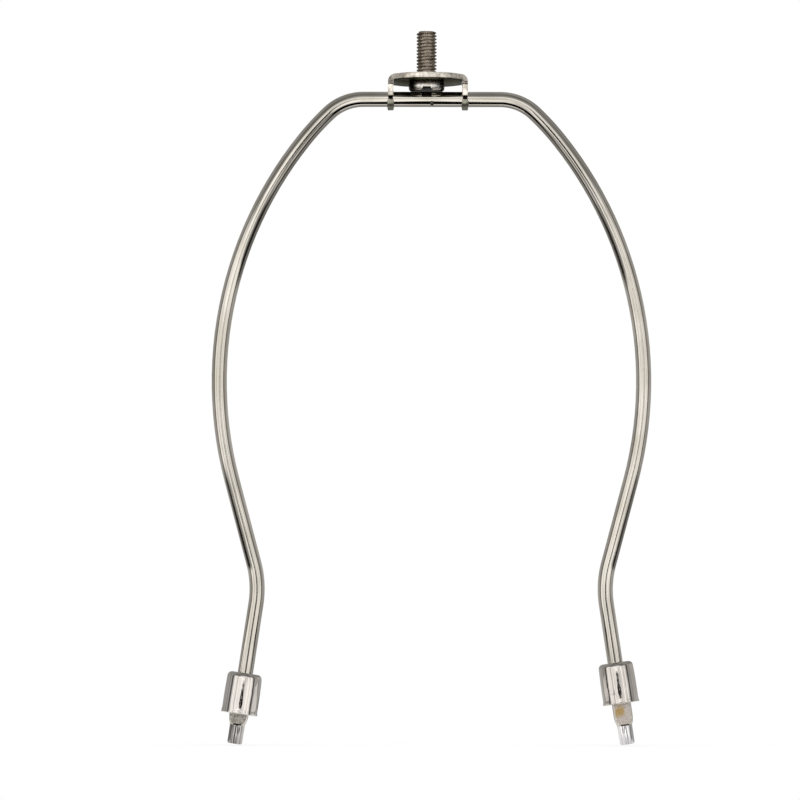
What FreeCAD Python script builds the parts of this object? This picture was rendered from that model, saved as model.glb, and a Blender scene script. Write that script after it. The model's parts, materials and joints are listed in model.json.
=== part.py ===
import FreeCAD, Part
import math
import os

# Lamp harp: a bent steel bow that stands on the lamp's lower saddle, carries a
# pivoting top saddle with a threaded stud for the finial, and has a sliding
# ferrule on each leg. Millimetres and degrees.
# Origin: midway between the leg tips, at the height of their lowest point.
# +Z is up, X runs across the bow and -Y is the front.

# Bow wire
wire_d = 4.35
top_half = 19.5
shoulder_r = 14.3
shoulder_angle = 43.6
haunch_r = 75.2
haunch_angle = 7.9
bow_r = 110.5
lower_angle = 14.95
lower_run = 24.4
waist_r = 28.1
leg_splay = 8.55
leg_run = 40.1

# Coined leg ends: a round tip, and above it a part pressed flat front and back.
# The swell is how much of the widening is done halfway up the taper.
tip_d = 4.25
tip_length = 5.3
tip_round = 0.5
coin_width = 5.44
coin_thickness = 3.0
coin_top = 19.8
coin_taper = 2.9
coin_swell = 0.66
coin_ramp = 0.45

# Small tooling nick low on the front of the top straight, in its middle,
# turned forward from straight down
nick_depth = 0.35
nick_angle = 100.0
nick_turn = 39.0

# Top saddle: a round sheet disc with two ears folded down round the wire. It
# hangs a little left of the bow's middle, and its folds are a little right of
# its own middle. Each ear's eye was closed round the wire and keeps a split.
sheet = 1.5
disc_r = 11.95
ear_inset = 2.075
fold_r = 0.3
fold_shift = 0.35
ear_root_width = 10.4
ear_width = 8.0
ear_root_fall = 1.6
ear_root_sweep = 0.3
eye_wall = 0.88
eye_clearance = 0.08
eye_split = 1.1
eye_split_rise = 0.25
saddle_shift = -1.5
tab_stub_width = 4.7
tab_stub_shift = 0.5
tear_width = 1.0
tear_depth = 0.55

# Finial stud: a slotted screw with its head between the disc and the wire. It
# is screwed through the disc, so inside the disc and up to its first full
# thread it has the thread's mean diameter. The hole's mouth is countersunk a
# little wider than the thread.
stud_d = 5.8
tapped_d = 5.2
mouth_chamfer = 0.4
stud_relief = 0.4
stud_length = 12.95
stud_chamfer = 0.45
head_d = 10.3
head_height = 2.7
head_seat_d = 9.7
head_face_d = 8.4
head_corner_d = 10.0
head_corner_rise = 0.43
head_clearance = 0.08
slot_depth = 1.0
slot_floor = 2.1
slot_mouth = 3.1

# Ferrules: drawn cups that slide down over the lower saddle's arms
ferrule_height = 11.7
ferrule_top_d = 9.85
ferrule_rim_d = 10.4
ferrule_flare = 0.1
flare_height = 0.7
ferrule_wall = 0.55
ferrule_corner = 1.3
ferrule_clearance = 0.25
ferrule_seat_gap = 0.12
right_ferrule_lift = 3.15

# Worked-out sizes
ear_gap = 2 * (disc_r - ear_inset)
wire_r = wire_d / 2
tip_r = tip_d / 2
coin_r = coin_width / 2
stud_r = stud_d / 2
tapped_r = tapped_d / 2
hole_r = wire_r + ferrule_clearance
eye_r = wire_r + eye_clearance
eye_outer_r = eye_r + eye_wall
fold_outer_r = fold_r + sheet

ACROSS = FreeCAD.Vector(1, 0, 0)
BACK = FreeCAD.Vector(0, 1, 0)
UP = FreeCAD.Vector(0, 0, 1)


def half_bow():
    """Edges of the right half of the bow's centre line, from the middle of the
    top straight at height 0 down to the tip, and the tip's point."""
    point = FreeCAD.Vector(0, 0, 0)
    lean = 90.0
    edges = []
    steps = [
        ("run", top_half),
        ("bend", shoulder_r, lean - shoulder_angle),
        ("bend", haunch_r, lean - shoulder_angle - haunch_angle),
        ("bend", bow_r, -lower_angle),
        ("run", lower_run),
        ("bend", waist_r, leg_splay),
        ("run", leg_run - coin_top),
    ]
    for step in steps:
        if step[0] == "run":
            end = point + heading(lean) * step[1]
            edges.append(Part.LineSegment(point, end).toShape())
        else:
            radius, new_lean = step[1], step[2]
            middle = bend_point(point, radius, lean, (lean + new_lean) / 2)
            end = bend_point(point, radius, lean, new_lean)
            edges.append(Part.Arc(point, middle, end).toShape())
            lean = new_lean
        point = end
    return edges, point + heading(lean) * coin_top


def heading(lean):
    """Direction of travel down the right side, leaning out from straight down."""
    turn = math.radians(lean)
    return FreeCAD.Vector(math.sin(turn), 0, -math.cos(turn))


def bend_point(start, radius, lean, new_lean):
    """Where a bend from one lean to another ends."""
    side = 1 if new_lean > lean else -1
    old, new = math.radians(lean), math.radians(new_lean)
    across = side * radius * (math.cos(old) - math.cos(new))
    down = side * radius * (math.sin(new) - math.sin(old))
    return start + FreeCAD.Vector(across, 0, -down)


HALF_EDGES, TIP_BELOW = half_bow()
SPLAY = math.radians(leg_splay)
tip_x = TIP_BELOW.x
tip_z = (tip_r - tip_round) * math.sin(SPLAY) + tip_round * (1 - math.cos(SPLAY))
wire_height = tip_z - TIP_BELOW.z
disc_under = wire_height + wire_r + head_clearance + head_height
disc_top = disc_under + sheet


def mirrored(shape):
    """The same shape on the other side of the bow."""
    return shape.mirror(FreeCAD.Vector(0, 0, 0), ACROSS)


def on_right_leg(shape, along):
    """Moves a shape made about the Z axis to a place along the right leg,
    measured up from the end of the tip."""
    turn = FreeCAD.Rotation(FreeCAD.Vector(0, 1, 0), -leg_splay)
    foot = FreeCAD.Vector(tip_x, 0, tip_z)
    place = foot + turn.multVec(UP) * along
    moved = shape.copy()
    moved.Placement = FreeCAD.Placement(place, turn)
    return moved


def vector_xz(x, z):
    return FreeCAD.Vector(x, 0, z)


def line(a, b):
    return Part.LineSegment(a, b).toShape()


def arc(a, b, c):
    return Part.Arc(a, b, c).toShape()


def round_corner(corner, radius, along_in, along_out):
    """Start, middle and end of a quarter arc that rounds a square corner."""
    start = corner + along_in * radius
    end = corner + along_out * radius
    centre = corner + along_in * radius + along_out * radius
    middle = centre - (along_in + along_out) * (radius / math.sqrt(2))
    return start, middle, end


def prism(points, sweep):
    """Solid made by moving the polygon through the points along a vector."""
    return Part.Face(Part.makePolygon(points + points[:1])).extrude(sweep)


def turned(edges):
    """Solid made by turning a closed outline in the XZ plane about Z."""
    face = Part.Face(Part.Wire(edges))
    return face.revolve(FreeCAD.Vector(0, 0, 0), UP, 360)


def leg_end():
    """One coined leg end, upright on the Z axis with its tip at the origin."""
    cone_start = coin_top - (coin_r - wire_r)
    blend = vector_xz(tip_r + (coin_r - tip_r) * coin_swell, tip_length + coin_taper / 2)
    rounded = round_corner(vector_xz(tip_r, 0), tip_round, -ACROSS, UP)
    axis_foot = vector_xz(0, 0)
    axis_head = vector_xz(0, coin_top)
    neck = vector_xz(tip_r, tip_length)
    full = vector_xz(coin_r, tip_length + coin_taper)
    edges = [
        line(axis_foot, rounded[0]),
        arc(*rounded),
        line(rounded[2], neck),
        arc(neck, blend, full),
        line(full, vector_xz(coin_r, cone_start)),
        line(vector_xz(coin_r, cone_start), vector_xz(wire_r, coin_top)),
        line(vector_xz(wire_r, coin_top), axis_head),
        line(axis_head, axis_foot),
    ]
    body = turned(edges)
    for side in (-1, 1):
        body = body.cut(coined_flat(side))
    return body


def coined_flat(side):
    """What the press squeezes away on one face, with a ramp at each end."""
    deep = side * coin_thickness / 2
    out = side * coin_r * 2
    run = coin_ramp * (coin_r * 2 - coin_thickness / 2) / (tip_r - coin_thickness / 2)
    outline = [
        (deep, tip_length + coin_ramp),
        (out, tip_length + coin_ramp - run),
        (out, coin_top + run - coin_ramp),
        (deep, coin_top - coin_ramp),
    ]
    return prism([FreeCAD.Vector(-coin_width, y, z) for y, z in outline], ACROSS * 2 * coin_width)


def nick():
    """A small V cut across the wire, low on its front."""
    reach = nick_depth * 4
    half = reach * math.tan(math.radians(nick_angle / 2))
    tip = wire_r - nick_depth
    outline = [(0, tip), (half, tip + reach), (-half, tip + reach)]
    wedge = prism([FreeCAD.Vector(x, -wire_d, z) for x, z in outline], BACK * 2 * wire_d)
    turn = FreeCAD.Rotation(ACROSS, 180 - nick_turn)
    wedge.Placement = FreeCAD.Placement(FreeCAD.Vector(0, 0, wire_height), turn)
    return wedge


def harp_wire():
    """The bow in one piece, from one coined tip to the other."""
    left = [mirrored(edge) for edge in HALF_EDGES]
    path = Part.Wire(Part.__sortEdges__(left + HALF_EDGES))
    first = path.OrderedVertexes[0].Point
    direction = path.OrderedEdges[0].tangentAt(path.OrderedEdges[0].FirstParameter)
    section = Part.Wire(Part.makeCircle(wire_r, first, direction))
    pipe = path.makePipeShell([section], True, False)
    pipe.translate(FreeCAD.Vector(0, 0, wire_height))
    foot = on_right_leg(leg_end(), 0)
    bow = pipe.fuse([foot, mirrored(foot)])
    return bow.removeSplitter().cut(nick())


def ear_faces(side):
    """Where one ear's inner and outer faces and its fold's start lie across."""
    inner = fold_shift + side * ear_gap / 2
    return inner, inner + side * sheet, inner - side * fold_r


def folded_strip():
    """The saddle's sheet folded to a channel, as wide as the disc, open below."""
    low = wire_height - eye_outer_r - sheet
    right_inner, right_outer, _ = ear_faces(1)
    left_inner, left_outer, _ = ear_faces(-1)
    right_out = round_corner(vector_xz(right_outer, disc_top), fold_outer_r, -ACROSS, -UP)
    left_out = round_corner(vector_xz(left_outer, disc_top), fold_outer_r, ACROSS, -UP)
    right_in = round_corner(vector_xz(right_inner, disc_under), fold_r, -ACROSS, -UP)
    left_in = round_corner(vector_xz(left_inner, disc_under), fold_r, ACROSS, -UP)
    edges = [
        line(left_out[0], right_out[0]),
        arc(*right_out),
        line(right_out[2], vector_xz(right_outer, low)),
        line(vector_xz(right_outer, low), vector_xz(right_inner, low)),
        line(vector_xz(right_inner, low), right_in[2]),
        arc(*reversed(right_in)),
        line(right_in[0], left_in[0]),
        arc(*left_in),
        line(left_in[2], vector_xz(left_inner, low)),
        line(vector_xz(left_inner, low), vector_xz(left_outer, low)),
        line(vector_xz(left_outer, low), left_out[2]),
        arc(*reversed(left_out)),
    ]
    face = Part.Face(Part.Wire(edges))
    face.translate(BACK * -disc_r)
    return face.extrude(BACK * 2 * disc_r)


def disc_outline():
    """The blank seen from above: the disc, cut where its folds start, and past
    each fold an ear's root that narrows towards the ear's outer face."""
    low = wire_height - eye_outer_r - 2 * sheet
    tall = disc_top + sheet - low
    left_start, right_start = ear_faces(-1)[2], ear_faces(1)[2]
    keep = Part.makeBox(right_start - left_start, 2 * disc_r, tall)
    keep.translate(FreeCAD.Vector(left_start, -disc_r, low))
    mask = Part.makeCylinder(disc_r, tall, FreeCAD.Vector(0, 0, low)).common(keep)
    root = ear_root_width / 2
    for side in (-1, 1):
        _, outer, start = ear_faces(side)
        chord = math.sqrt(disc_r**2 - start**2)
        outline = [(start, -chord), (outer, -root), (outer, root), (start, chord)]
        mask = mask.fuse(prism([FreeCAD.Vector(x, y, low) for x, y in outline], UP * tall))
    return mask


def ear_outline():
    """The saddle seen from the side: all of the disc, and below it one ear that
    narrows to a strip and ends round the wire."""
    reach = 2 * disc_r
    fold_end = disc_top - fold_outer_r
    wide = Part.makeBox(2 * reach, reach, fold_outer_r + sheet)
    wide.translate(FreeCAD.Vector(-reach, -disc_r, fold_end))
    root, half = ear_root_width / 2, ear_width / 2
    strip_top = fold_end - ear_root_fall
    swept = half + (root - half) * ear_root_sweep
    corner = [
        FreeCAD.Vector(-reach, -root, fold_end),
        FreeCAD.Vector(-reach, -swept, fold_end - ear_root_fall * ear_root_sweep),
        FreeCAD.Vector(-reach, -half, strip_top),
    ]
    rise = strip_top - wire_height
    swing = math.atan2(half, rise) + math.acos(eye_outer_r / math.hypot(half, rise))
    foot_y = eye_outer_r * math.sin(swing)
    foot_z = wire_height + eye_outer_r * math.cos(swing)
    foot = FreeCAD.Vector(-reach, -foot_y, foot_z)
    lowest = FreeCAD.Vector(-reach, 0, wire_height - eye_outer_r)
    other_foot = FreeCAD.Vector(-reach, foot_y, foot_z)
    other = [FreeCAD.Vector(p.x, -p.y, p.z) for p in corner]
    edges = [
        arc(*corner),
        line(corner[2], foot),
        arc(foot, lowest, other_foot),
        line(other_foot, other[2]),
        arc(*reversed(other)),
        line(other[0], corner[0]),
    ]
    return wide.fuse(Part.Face(Part.Wire(edges)).extrude(ACROSS * 2 * reach))


def top_saddle():
    """Disc and ears, with the wire's eyes, the stud's hole and the torn stub of
    the tab that held the blank in its strip."""
    body = folded_strip().common(disc_outline()).common(ear_outline())
    reach = 2 * disc_r
    eyes = Part.makeCylinder(eye_r, 2 * reach, FreeCAD.Vector(-reach, 0, wire_height), ACROSS)
    split = Part.makeBox(2 * reach, disc_r, eye_split)
    split_z = wire_height + eye_split_rise - eye_split / 2
    split.translate(FreeCAD.Vector(-reach, -disc_r, split_z))
    hole = Part.makeCylinder(tapped_r, sheet, FreeCAD.Vector(0, 0, disc_under))
    mouth_foot = FreeCAD.Vector(0, 0, disc_top - mouth_chamfer)
    mouth = Part.makeCone(tapped_r, tapped_r + mouth_chamfer, mouth_chamfer, mouth_foot)
    stub_left = tab_stub_shift - tab_stub_width / 2
    stub_right = tab_stub_shift + tab_stub_width / 2
    stub_y = -math.sqrt(disc_r**2 - stub_right**2)
    shear = Part.makeBox(tab_stub_width, disc_r, sheet)
    shear.translate(FreeCAD.Vector(stub_left, stub_y - disc_r, disc_under))
    tear = Part.makeBox(tear_width, disc_r, sheet)
    tear_z = disc_under + sheet / 2
    tear.translate(FreeCAD.Vector(stub_right, stub_y + tear_depth - disc_r, tear_z))
    body = body.cut([eyes, split, hole, mouth, shear, tear])
    body.translate(ACROSS * saddle_shift)
    return body


def finial_stud():
    """Slotted round-head screw, head down, with a plain shank of the thread's
    outside diameter."""
    top = disc_top + stud_length
    first_thread = disc_top + stud_relief
    low = disc_under - head_height
    face_r, corner_r = head_face_d / 2, head_corner_d / 2
    round_r = ((corner_r - face_r)**2 + head_corner_rise**2) / (2 * head_corner_rise)
    turn = math.asin((corner_r - face_r) / round_r) / 2
    cheek_z = low + round_r * (1 - math.cos(turn))
    cheek = vector_xz(face_r + round_r * math.sin(turn), cheek_z)
    corner = vector_xz(corner_r, low + head_corner_rise)
    belly = vector_xz(head_d / 2, disc_under - head_height / 2)
    seat = vector_xz(head_seat_d / 2, disc_under)
    edges = [
        line(vector_xz(0, low), vector_xz(face_r, low)),
        arc(vector_xz(face_r, low), cheek, corner),
        arc(corner, belly, seat),
        line(seat, vector_xz(tapped_r, disc_under)),
        line(vector_xz(tapped_r, disc_under), vector_xz(tapped_r, first_thread)),
        line(vector_xz(tapped_r, first_thread), vector_xz(stud_r, first_thread)),
        line(vector_xz(stud_r, first_thread), vector_xz(stud_r, top - stud_chamfer)),
        line(vector_xz(stud_r, top - stud_chamfer), vector_xz(stud_r - stud_chamfer, top)),
        line(vector_xz(stud_r - stud_chamfer, top), vector_xz(0, top)),
        line(vector_xz(0, top), vector_xz(0, low)),
    ]
    body = turned(edges).cut(driver_slot(low))
    body.translate(ACROSS * saddle_shift)
    return body


def driver_slot(low):
    """The head's slot, from front to back, wider at its mouth."""
    drop = slot_depth / 2
    spread = (slot_mouth - slot_floor) / 2 * drop / slot_depth
    outline = [
        (-slot_mouth / 2 - spread, low - drop),
        (-slot_floor / 2, low + slot_depth),
        (slot_floor / 2, low + slot_depth),
        (slot_mouth / 2 + spread, low - drop),
    ]
    return prism([FreeCAD.Vector(x, -head_d, z) for x, z in outline], BACK * 2 * head_d)


def ferrule():
    """Drawn cup, mouth down on the XY plane, with a hole for the leg."""
    rim = ferrule_rim_d / 2
    above_flare = rim - ferrule_flare
    top = ferrule_top_d / 2
    roof = ferrule_height - ferrule_wall
    inner_corner = ferrule_corner - ferrule_wall
    outer = round_corner(vector_xz(top, ferrule_height), ferrule_corner, -UP, -ACROSS)
    inner = round_corner(vector_xz(top - ferrule_wall, roof), inner_corner, -UP, -ACROSS)
    edges = [
        line(vector_xz(rim, 0), vector_xz(above_flare, flare_height)),
        line(vector_xz(above_flare, flare_height), outer[0]),
        arc(*outer),
        line(outer[2], vector_xz(hole_r, ferrule_height)),
        line(vector_xz(hole_r, ferrule_height), vector_xz(hole_r, roof)),
        line(vector_xz(hole_r, roof), inner[2]),
        arc(*reversed(inner)),
        line(inner[0], vector_xz(above_flare - ferrule_wall, flare_height)),
        line(vector_xz(above_flare - ferrule_wall, flare_height), vector_xz(rim - ferrule_wall, 0)),
        line(vector_xz(rim - ferrule_wall, 0), vector_xz(rim, 0)),
    ]
    return turned(edges)


# A ferrule at its stop has its roof just above the coined part's top shoulder
stop = coin_top - (hole_r - wire_r) - (ferrule_height - ferrule_wall) + ferrule_seat_gap

nodes = {
    "harp_wire": harp_wire(),
    "top_saddle": top_saddle(),
    "finial_stud": finial_stud(),
    "left_ferrule": mirrored(on_right_leg(ferrule(), stop)),
    "right_ferrule": on_right_leg(ferrule(), stop + right_ferrule_lift),
}

os.makedirs("parts", exist_ok=True)
for name, shape in nodes.items():
    shape.exportStep("parts/" + name + ".step")
    box = shape.BoundBox
    print(name, shape.isValid(), len(shape.Solids), round(shape.Volume, 2))
    print("   ", round(box.XMin, 3), round(box.YMin, 3), round(box.ZMin, 3))
    print("   ", round(box.XMax, 3), round(box.YMax, 3), round(box.ZMax, 3))
print("wire height", round(wire_height, 3), "disc top", round(disc_top, 3), "stop", round(stop, 3))
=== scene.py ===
"""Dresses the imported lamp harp: a plated wire bow with a threaded top saddle
and two ferrules, in a white studio. Piece sizes are in millimetres."""

import json
import logging
import math
from collections.abc import Callable
from dataclasses import dataclass, field
from enum import Enum
from functools import partial

import bpy
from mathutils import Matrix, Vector

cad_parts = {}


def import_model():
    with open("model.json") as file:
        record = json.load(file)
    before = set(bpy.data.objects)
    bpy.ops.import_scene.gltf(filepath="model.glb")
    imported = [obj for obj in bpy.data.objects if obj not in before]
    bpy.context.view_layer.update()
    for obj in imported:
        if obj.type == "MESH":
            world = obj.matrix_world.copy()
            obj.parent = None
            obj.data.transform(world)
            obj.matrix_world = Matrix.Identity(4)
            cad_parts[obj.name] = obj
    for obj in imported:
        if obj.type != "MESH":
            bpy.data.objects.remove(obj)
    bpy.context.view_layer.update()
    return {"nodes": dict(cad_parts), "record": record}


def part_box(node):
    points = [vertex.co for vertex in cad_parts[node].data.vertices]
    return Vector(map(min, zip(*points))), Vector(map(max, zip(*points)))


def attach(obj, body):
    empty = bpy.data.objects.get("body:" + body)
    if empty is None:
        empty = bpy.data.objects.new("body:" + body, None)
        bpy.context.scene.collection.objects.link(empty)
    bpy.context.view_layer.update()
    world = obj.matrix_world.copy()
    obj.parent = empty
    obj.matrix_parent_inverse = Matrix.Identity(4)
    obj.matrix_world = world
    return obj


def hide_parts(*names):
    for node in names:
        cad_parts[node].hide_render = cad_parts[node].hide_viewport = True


LOG = logging.getLogger("lamp_harp")
MM = 0.001
WIRE_R = 2.175
SMOOTH_ANGLE = math.radians(32)
SHARP_ANGLE = math.radians(40)
SOFT_DEGREES = 0.4

Piece = bpy.types.Object
Face = bpy.types.MeshPolygon
Tree = bpy.types.NodeTree
Node = bpy.types.Node
Socket = bpy.types.NodeSocket
Adder = Callable[..., Node]
Triple = tuple[float, float, float]
Outline = tuple[tuple[float, float], ...]


class Side(Enum):
    """One of the bow's two legs, with the sign of its X."""

    LEFT = -1
    RIGHT = 1


# Shared tools


def linear(code: str) -> tuple[float, float, float, float]:
    """Turns an sRGB hex colour into Blender's linear RGBA.

    Args:
        code: Six hex digits.

    Returns:
        Linear red, green, blue and an alpha of 1.
    """
    parts = [int(code[i : i + 2], 16) / 255 for i in (0, 2, 4)]
    low = [c / 12.92 if c <= 0.04045 else ((c + 0.055) / 1.055) ** 2.4 for c in parts]
    return (low[0], low[1], low[2], 1.0)


def add_node(tree: Tree, kind: str, **details: object) -> Node:
    """Adds a shader node, sets it up and wires it.

    Args:
        tree: The node tree that takes the node.
        kind: The node's Blender type name without ShaderNode.
        **details: A name in small letters is an attribute of the node. Any
            other is an input, with _ for a space, or i and its number. A node
            as a value stands for its first enabled output.

    Returns:
        The new node.
    """
    node = tree.nodes.new("ShaderNode" + kind)
    for name, value in details.items():
        numbered = name[0] == "i" and name[1:].isdigit()
        if name.islower() and not numbered:
            setattr(node, name, value)
            continue
        socket = node.inputs[int(name[1:]) if numbered else name.replace("_", " ")]
        if isinstance(value, Node):
            value = next(output for output in value.outputs if output.enabled)
        if isinstance(value, Socket):
            tree.links.new(value, socket)
        else:
            socket.default_value = value
    return node


def set_ramp(ramp: Node, stops: list[tuple[float, tuple]]) -> None:
    """Gives a colour ramp its stops.

    Args:
        ramp: A ColorRamp node.
        stops: Position and linear colour of each stop, from low to high.
    """
    elements = ramp.color_ramp.elements
    while len(elements) < len(stops):
        elements.new(0.5)
    for element, (position, colour) in zip(elements, stops):
        element.position = position
        element.color = colour


def node_adder(owner: bpy.types.Material | bpy.types.World) -> Adder:
    """Takes the nodes out of a new material or world.

    Args:
        owner: The material or world.

    Returns:
        The function that adds nodes to it.
    """
    owner.use_nodes = True
    owner.node_tree.nodes.clear()
    return partial(add_node, owner.node_tree)


def set_mode(mode: str) -> None:
    """Switches the active piece to OBJECT or EDIT mode."""
    bpy.ops.object.mode_set(mode=mode)


def deselect_all() -> None:
    """Leaves nothing selected, so that an operator acts on new work only."""
    if bpy.context.object and bpy.context.object.mode == "EDIT":
        set_mode("OBJECT")
    bpy.ops.object.select_all(action="DESELECT")


def activate(piece: Piece) -> None:
    """Makes a piece the only selected and the active one.

    Args:
        piece: The piece.
    """
    deselect_all()
    piece.select_set(True)
    bpy.context.view_layer.objects.active = piece


def select_vertices(piece: Piece, wanted: list[int]) -> None:
    """Selects vertices of a piece in edit mode by their numbers, and no others.

    Args:
        piece: The piece that is being edited.
        wanted: Vertex numbers.
    """
    set_mode("OBJECT")
    mesh = piece.data
    mesh.polygons.foreach_set("select", [False] * len(mesh.polygons))
    mesh.edges.foreach_set("select", [False] * len(mesh.edges))
    flags = [False] * len(mesh.vertices)
    for number in wanted:
        flags[number] = True
    mesh.vertices.foreach_set("select", flags)
    set_mode("EDIT")


def apply_modifiers(piece: Piece) -> None:
    """Applies every modifier of a piece, in order.

    Args:
        piece: The piece.
    """
    activate(piece)
    for modifier in list(piece.modifiers):
        bpy.ops.object.modifier_apply(modifier=modifier.name)


def ease_edges(piece: Piece, name: str, width: float) -> None:
    """Rounds the sharp edges of a piece.

    Args:
        piece: The piece.
        name: The bevel's name.
        width: The bevel's width in millimetres.
    """
    edge = piece.modifiers.new(name, "BEVEL")
    edge.width = width * MM
    edge.segments = 2
    edge.limit_method = "ANGLE"
    edge.angle_limit = SHARP_ANGLE
    apply_modifiers(piece)


def settle(piece: Piece) -> None:
    """Applies a piece's place, faces it outwards and smooths its shading.

    Args:
        piece: The piece.
    """
    activate(piece)
    bpy.ops.object.transform_apply(location=True, rotation=True, scale=True)
    set_mode("EDIT")
    bpy.ops.mesh.select_all(action="SELECT")
    bpy.ops.mesh.remove_doubles(threshold=1e-6)
    bpy.ops.mesh.normals_make_consistent(inside=False)
    set_mode("OBJECT")
    bpy.ops.object.shade_smooth_by_angle(angle=SMOOTH_ANGLE)


def start_ring(name: str, radius: float, centre: Vector, tilt: float, sides: int) -> Piece:
    """Adds a ring of edges to extrude a round piece from, and opens it for edit.

    Args:
        name: The piece's name.
        radius: The ring's radius in metres.
        centre: The ring's centre in metres.
        tilt: The ring's turn about Y, in radians.
        sides: The number of the ring's vertices.

    Returns:
        The new piece, in edit mode with all of the ring selected.
    """
    deselect_all()
    bpy.ops.mesh.primitive_circle_add(
        vertices=sides, radius=radius, fill_type="NOTHING", location=centre, rotation=(0, tilt, 0)
    )
    piece = bpy.context.object
    piece.name = piece.data.name = name
    bpy.ops.object.transform_apply(location=True, rotation=True, scale=True)
    set_mode("EDIT")
    bpy.ops.mesh.select_all(action="SELECT")
    return piece


def extrude_ring(step: Vector) -> None:
    """Extrudes the selected ring by a step in metres."""
    bpy.ops.mesh.extrude_region_move(TRANSFORM_OT_translate={"value": step})


def turned_piece(name: str, outline: list[tuple[float, float]], sides: int) -> Piece:
    """Models a turned piece about the Z axis, ring by ring along its outline.

    Args:
        name: The piece's name.
        outline: Radius and height of each ring in millimetres. An outline that
            ends where it starts makes a closed wall, and any other is capped.
        sides: The number of vertices of a ring.

    Returns:
        The piece, in object mode.
    """
    radius, height = outline[0]
    piece = start_ring(name, radius * MM, Vector((0, 0, height * MM)), 0, sides)
    if outline[0] != outline[-1]:
        bpy.ops.mesh.edge_face_add()
        bpy.ops.mesh.select_all(action="SELECT")
    for new_radius, new_height in outline[1:]:
        extrude_ring(Vector((0, 0, (new_height - height) * MM)))
        factor = new_radius / radius
        bpy.ops.transform.resize(value=(factor, factor, 1), center_override=(0, 0, 0))
        radius, height = new_radius, new_height
    set_mode("OBJECT")
    return piece


def arc_points(
    centre: tuple[float, float], radius: float, start: float, end: float, steps: int
) -> list[tuple[float, float]]:
    """Points of an arc in a turned piece's outline.

    Args:
        centre: Radius and height of the arc's centre.
        radius: The arc's radius.
        start: Angle of the first point in degrees, 0 outwards and 90 up.
        end: Angle of the last point in degrees.
        steps: The number of stretches.

    Returns:
        Radius and height of each point.
    """
    turns = [math.radians(start + (end - start) * i / steps) for i in range(steps + 1)]
    return [(centre[0] + radius * math.cos(t), centre[1] + radius * math.sin(t)) for t in turns]


# Finishes


@dataclass(frozen=True)
class Spot:
    """A patch with a frayed edge on the plate round one place, or on all that
    lies round that place: a real stain on the coined faces, painted shade on the
    saddle's underside and the screw head. Its sizes are in millimetres."""

    tone: str
    place: Triple
    reach: float
    near_share: float
    far_share: float = 0.0
    fade: float = 1.1
    fray_mm: float = 2.5
    fray_depth: float = 2.0

    def over(self, add: Adder, place: Socket, colour: Node) -> Node:
        """Lays the patch over a colour.

        Args:
            add: Adds a node to the material.
            place: Object coordinates.
            colour: The node that gives the plate's colour.

        Returns:
            The node that gives the stained colour.
        """
        centre = tuple(value * MM for value in self.place)
        away = add("VectorMath", operation="DISTANCE", i0=place, i1=centre)
        fray = add("TexNoise", Vector=place, Scale=1 / (self.fray_mm * MM), Detail=3.0)
        ragged = add("Math", operation="MULTIPLY_ADD", i0=fray, i1=self.fray_depth * MM, i2=away)
        share = add(
            "MapRange", Value=ragged, From_Min=self.reach * MM,
            From_Max=(self.reach + self.fade) * MM, To_Min=self.near_share, To_Max=self.far_share,
        )
        return add("Mix", data_type="RGBA", i0=share, i6=colour, i7=linear(self.tone))


@dataclass(frozen=True)
class PlatedMetal:
    """Nickel plate on drawn or stamped steel: a warm grey mirror, with a grain
    in its gloss and a slow waviness that bends what it reflects. The grain is
    too fine to show and is drawn 0.3 to 0.5 mm wide. Clean plate turns white at
    a flat angle, and a darker edge tone takes that away as painted shade."""

    name: str
    tint: str
    tarnish: str
    gloss: float
    grain_mm: float = 0.4
    grain_depth: float = 0.01
    wave_mm: float = 2.0
    wave_depth: float = 0.03
    cloud_mm: float = 9.0
    edge_tone: str = "FFFFFF"
    spot: Spot | None = None

    def material(self) -> bpy.types.Material:
        """Builds the finish.

        Returns:
            The material.
        """
        material = bpy.data.materials.new(self.name)
        add = node_adder(material)
        place = add("TexCoord").outputs["Object"]
        grain, wave, cloud = (
            add("TexNoise", Vector=place, Scale=1 / (size * MM), Detail=detail)
            for size, detail in ((self.grain_mm, 3.0), (self.wave_mm, 1.0), (self.cloud_mm, 4.0))
        )
        colour = add("ValToRGB", Fac=cloud)
        set_ramp(colour, [(0.35, linear(self.tarnish)), (0.6, linear(self.tint))])
        rough = add(
            "MapRange", Value=grain, From_Min=0.3, From_Max=0.7, To_Min=self.gloss * 0.8,
            To_Max=self.gloss * 1.35,
        )
        swell = add("Bump", Height=wave, Strength=1.0, Distance=self.wave_depth * MM)
        depth = self.grain_depth * MM
        fine = add("Bump", Height=grain, Normal=swell, Strength=1.0, Distance=depth)
        shader = add(
            "BsdfPrincipled", Base_Color=self.stain_and_shade(add, place, colour), Metallic=1.0,
            Specular_Tint=linear(self.edge_tone), Roughness=rough, Normal=fine,
        )
        add("OutputMaterial", Surface=shader)
        return material

    def stain_and_shade(self, add: Adder, place: Socket, colour: Node) -> Node:
        """Colour with the metal's spot, where it has one."""
        return self.spot.over(add, place, colour) if self.spot else colour


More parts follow.
